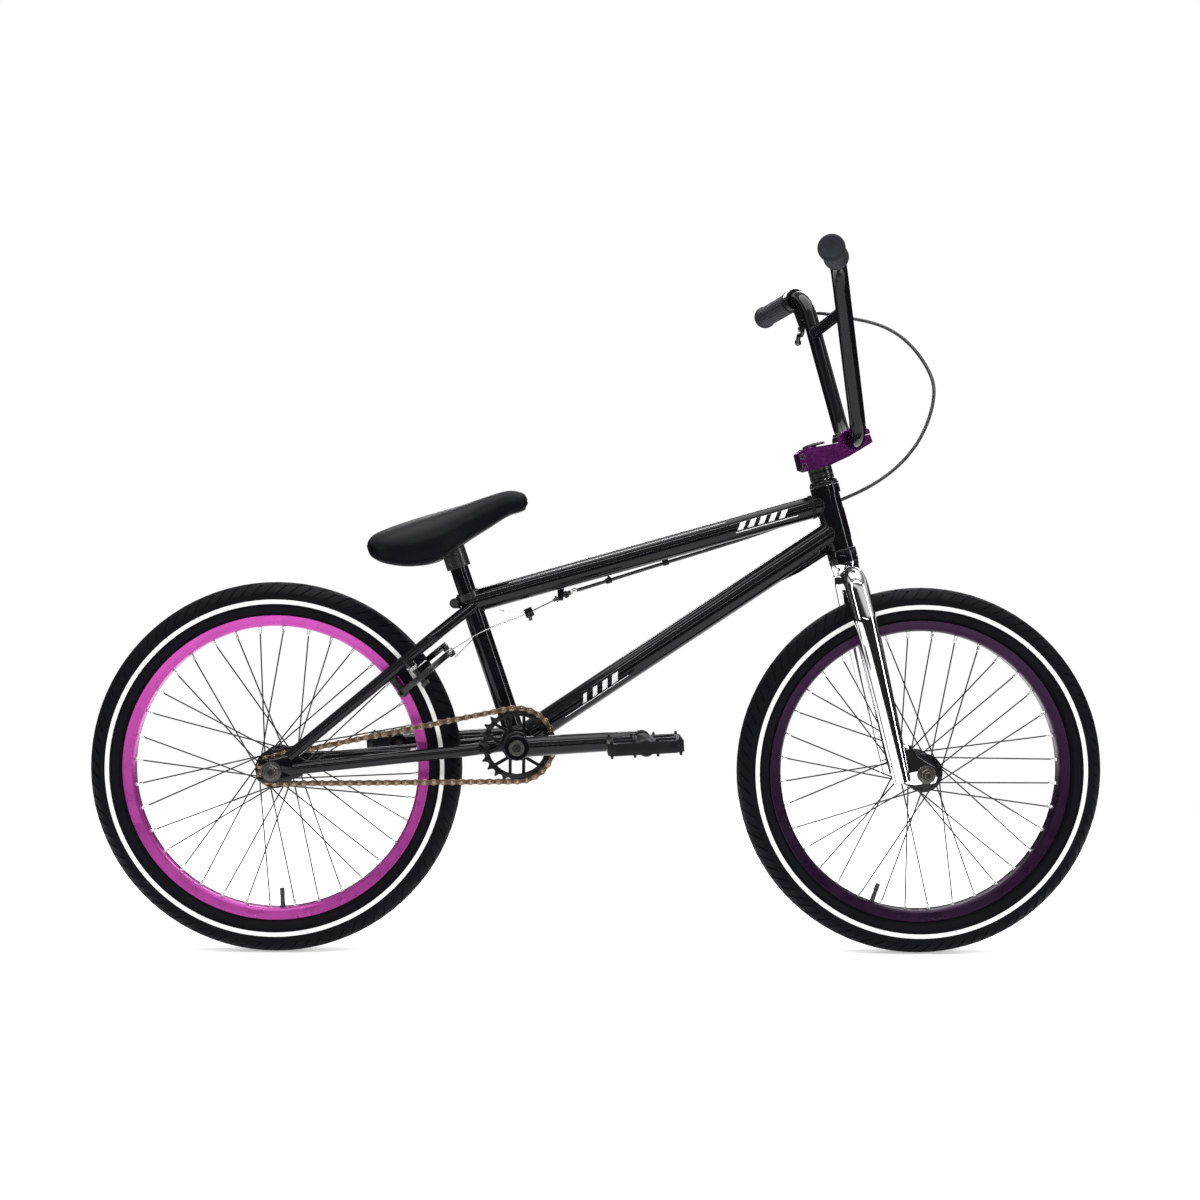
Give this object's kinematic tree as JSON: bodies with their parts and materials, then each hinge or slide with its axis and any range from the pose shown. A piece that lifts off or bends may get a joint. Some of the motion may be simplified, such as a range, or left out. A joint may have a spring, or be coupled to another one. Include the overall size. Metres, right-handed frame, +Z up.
{
  "type": "bmx bike",
  "caption": "Freestyle BMX bicycle with a steel diamond frame, high-rise handlebar, laced wheels, chain drive and a rear rim brake.",
  "frame": {"origin": "on the ground under the middle of the wheelbase, in the bike's middle plane", "axes": "+X forward, +Y to the rider's left, +Z up; the drive side faces -Y"},
  "size_m": [1.412, 0.7, 0.9573],
  "materials": {
    "black_anodised_alloy": "black anodised aluminium",
    "black_nylon": "black moulded nylon",
    "black_oxide_steel": "black oxide steel",
    "bronze_chain_steel": "bronze-brown chain steel",
    "butyl_rubber": "matt butyl rubber",
    "cable_housing": "black plastic cable casing",
    "chrome": "mirror chrome plate",
    "gloss_black_paint": "gloss black paint over steel tube",
    "grip_rubber": "dark grey moulded rubber",
    "magenta_anodised": "magenta anodised aluminium",
    "pad_rubber": "matt black brake compound",
    "purple_anodised": "deep purple anodised aluminium",
    "saddle_cover": "satin blue-black synthetic leather over foam",
    "tyre_rubber": "blue-black tyre rubber with a white sidewall line",
    "zinc_steel": "bright zinc-plated steel wire"
  },
  "bodies": {
    "frame": {"frame": "gloss_black_paint", "headset_bearing_lower": "black_oxide_steel", "headset_bearing_upper": "black_oxide_steel", "bottom_bracket_bearing_right": "black_oxide_steel", "bottom_bracket_bearing_left": "black_oxide_steel", "seat_clamp_bolt": "black_oxide_steel", "brake_pivot_bolt_right": "black_oxide_steel", "brake_pivot_bolt_left": "black_oxide_steel", "rear_axle": "black_oxide_steel", "chain": "bronze_chain_steel", "brake_cable_housing": "cable_housing", "cable_clip_front": "black_nylon", "cable_clip_rear": "black_nylon", "barrel_adjuster": "black_anodised_alloy"},
    "steering": {"fork": "chrome", "headset_cover": "black_anodised_alloy", "headset_spacer": "black_anodised_alloy", "stem": "purple_anodised", "stem_cap": "purple_anodised", "headset_top_cap": "black_anodised_alloy", "handlebar": "gloss_black_paint", "grip_right": "grip_rubber", "grip_left": "grip_rubber", "brake_lever_bracket": "black_anodised_alloy", "front_axle": "black_oxide_steel"},
    "front_wheel": {"front_tyre": "tyre_rubber", "front_inner_tube": "butyl_rubber", "front_rim": "purple_anodised", "front_hub": "black_anodised_alloy", "front_spokes_right": "black_oxide_steel", "front_spokes_left": "black_oxide_steel"},
    "rear_wheel": {"rear_tyre": "tyre_rubber", "rear_inner_tube": "butyl_rubber", "rear_rim": "magenta_anodised", "rear_hub": "black_anodised_alloy", "rear_spokes_right": "black_oxide_steel", "rear_spokes_left": "black_oxide_steel"},
    "driver": {"driver": "black_oxide_steel"},
    "crankset": {"crank_spindle": "black_oxide_steel", "crank_arm_right": "gloss_black_paint", "crank_arm_left": "gloss_black_paint", "sprocket": "black_anodised_alloy", "pedal_axle_right": "black_oxide_steel", "pedal_axle_left": "black_oxide_steel"},
    "right_pedal": {"pedal_right": "black_nylon"},
    "left_pedal": {"pedal_left": "black_nylon"},
    "brake_lever": {"brake_lever_blade": "black_anodised_alloy"},
    "right_brake_arm": {"brake_arm_right": "black_anodised_alloy", "brake_pad_right": "pad_rubber"},
    "left_brake_arm": {"brake_arm_left": "black_anodised_alloy", "brake_pad_left": "pad_rubber"},
    "straddle": {"straddle_hanger": "black_anodised_alloy", "straddle_wire_right": "zinc_steel", "straddle_wire_left": "zinc_steel"},
    "seat": {"seat_post": "gloss_black_paint", "saddle_clamp": "black_anodised_alloy", "saddle_base": "black_nylon", "saddle": "saddle_cover"}
  },
  "joints": [
    {"name": "steering_turn", "type": "hinge", "parent": "frame", "child": "steering", "pos_m": [0.3403, 0, 0.548], "axis": [-0.2672, 0, 0.9636], "range_deg": [-85, 85], "deforming": ["brake_cable_housing"]},
    {"name": "front_wheel_spin", "type": "hinge", "parent": "steering", "child": "front_wheel", "pos_m": [0.449, 0, 0.257], "axis": [0, 1, 0], "continuous": true},
    {"name": "rear_wheel_spin", "type": "hinge", "parent": "frame", "child": "rear_wheel", "pos_m": [-0.449, 0, 0.257], "axis": [0, 1, 0], "continuous": true},
    {"name": "crank_spin", "type": "hinge", "parent": "frame", "child": "crankset", "pos_m": [-0.1155, 0, 0.294], "axis": [0, 1, 0], "continuous": true},
    {"name": "driver_spin", "type": "hinge", "parent": "frame", "child": "driver", "pos_m": [-0.449, 0, 0.257], "axis": [0, 1, 0], "continuous": true},
    {"name": "right_pedal_spin", "type": "hinge", "parent": "crankset", "child": "right_pedal", "pos_m": [0.05415, -0.079, 0.30497], "axis": [0, 1, 0], "continuous": true},
    {"name": "left_pedal_spin", "type": "hinge", "parent": "crankset", "child": "left_pedal", "pos_m": [-0.28515, 0.079, 0.28303], "axis": [0, 1, 0], "continuous": true},
    {"name": "brake_lever_pull", "type": "hinge", "parent": "steering", "child": "brake_lever", "pos_m": [0.30748, 0.21182, 0.8998], "axis": [0.9397, 0, 0.3419], "range_deg": [0, 20], "stiffness_Nm_per_rad": 1.5, "springref_deg": -8.59},
    {"name": "right_brake_arm_swing", "type": "hinge", "parent": "frame", "child": "right_brake_arm", "pos_m": [-0.24881, -0.044, 0.38565], "axis": [0.644, 0, -0.765], "range_deg": [0, 2.4]},
    {"name": "left_brake_arm_swing", "type": "hinge", "parent": "frame", "child": "left_brake_arm", "pos_m": [-0.25654, 0.044, 0.39483], "axis": [-0.644, 0, 0.765], "range_deg": [0, 2.4]},
    {"name": "straddle_pull", "type": "slide", "parent": "frame", "child": "straddle", "axis": [0.9, 0, 0.4359], "range_m": [0, 0.003]},
    {"name": "seat_height", "type": "slide", "parent": "frame", "child": "seat", "axis": [-0.3256, 0, 0.9455], "range_m": [-0.02, 0.08]}
  ],
  "couplings": [
    {"joint": "driver_spin", "follows": "crank_spin", "ratio": 2.7778},
    {"joint": "right_brake_arm_swing", "follows": "brake_lever_pull", "ratio": 0.12},
    {"joint": "left_brake_arm_swing", "follows": "brake_lever_pull", "ratio": 0.12},
    {"joint": "straddle_pull", "follows": "brake_lever_pull", "m_per_rad": 0.00859}
  ]
}
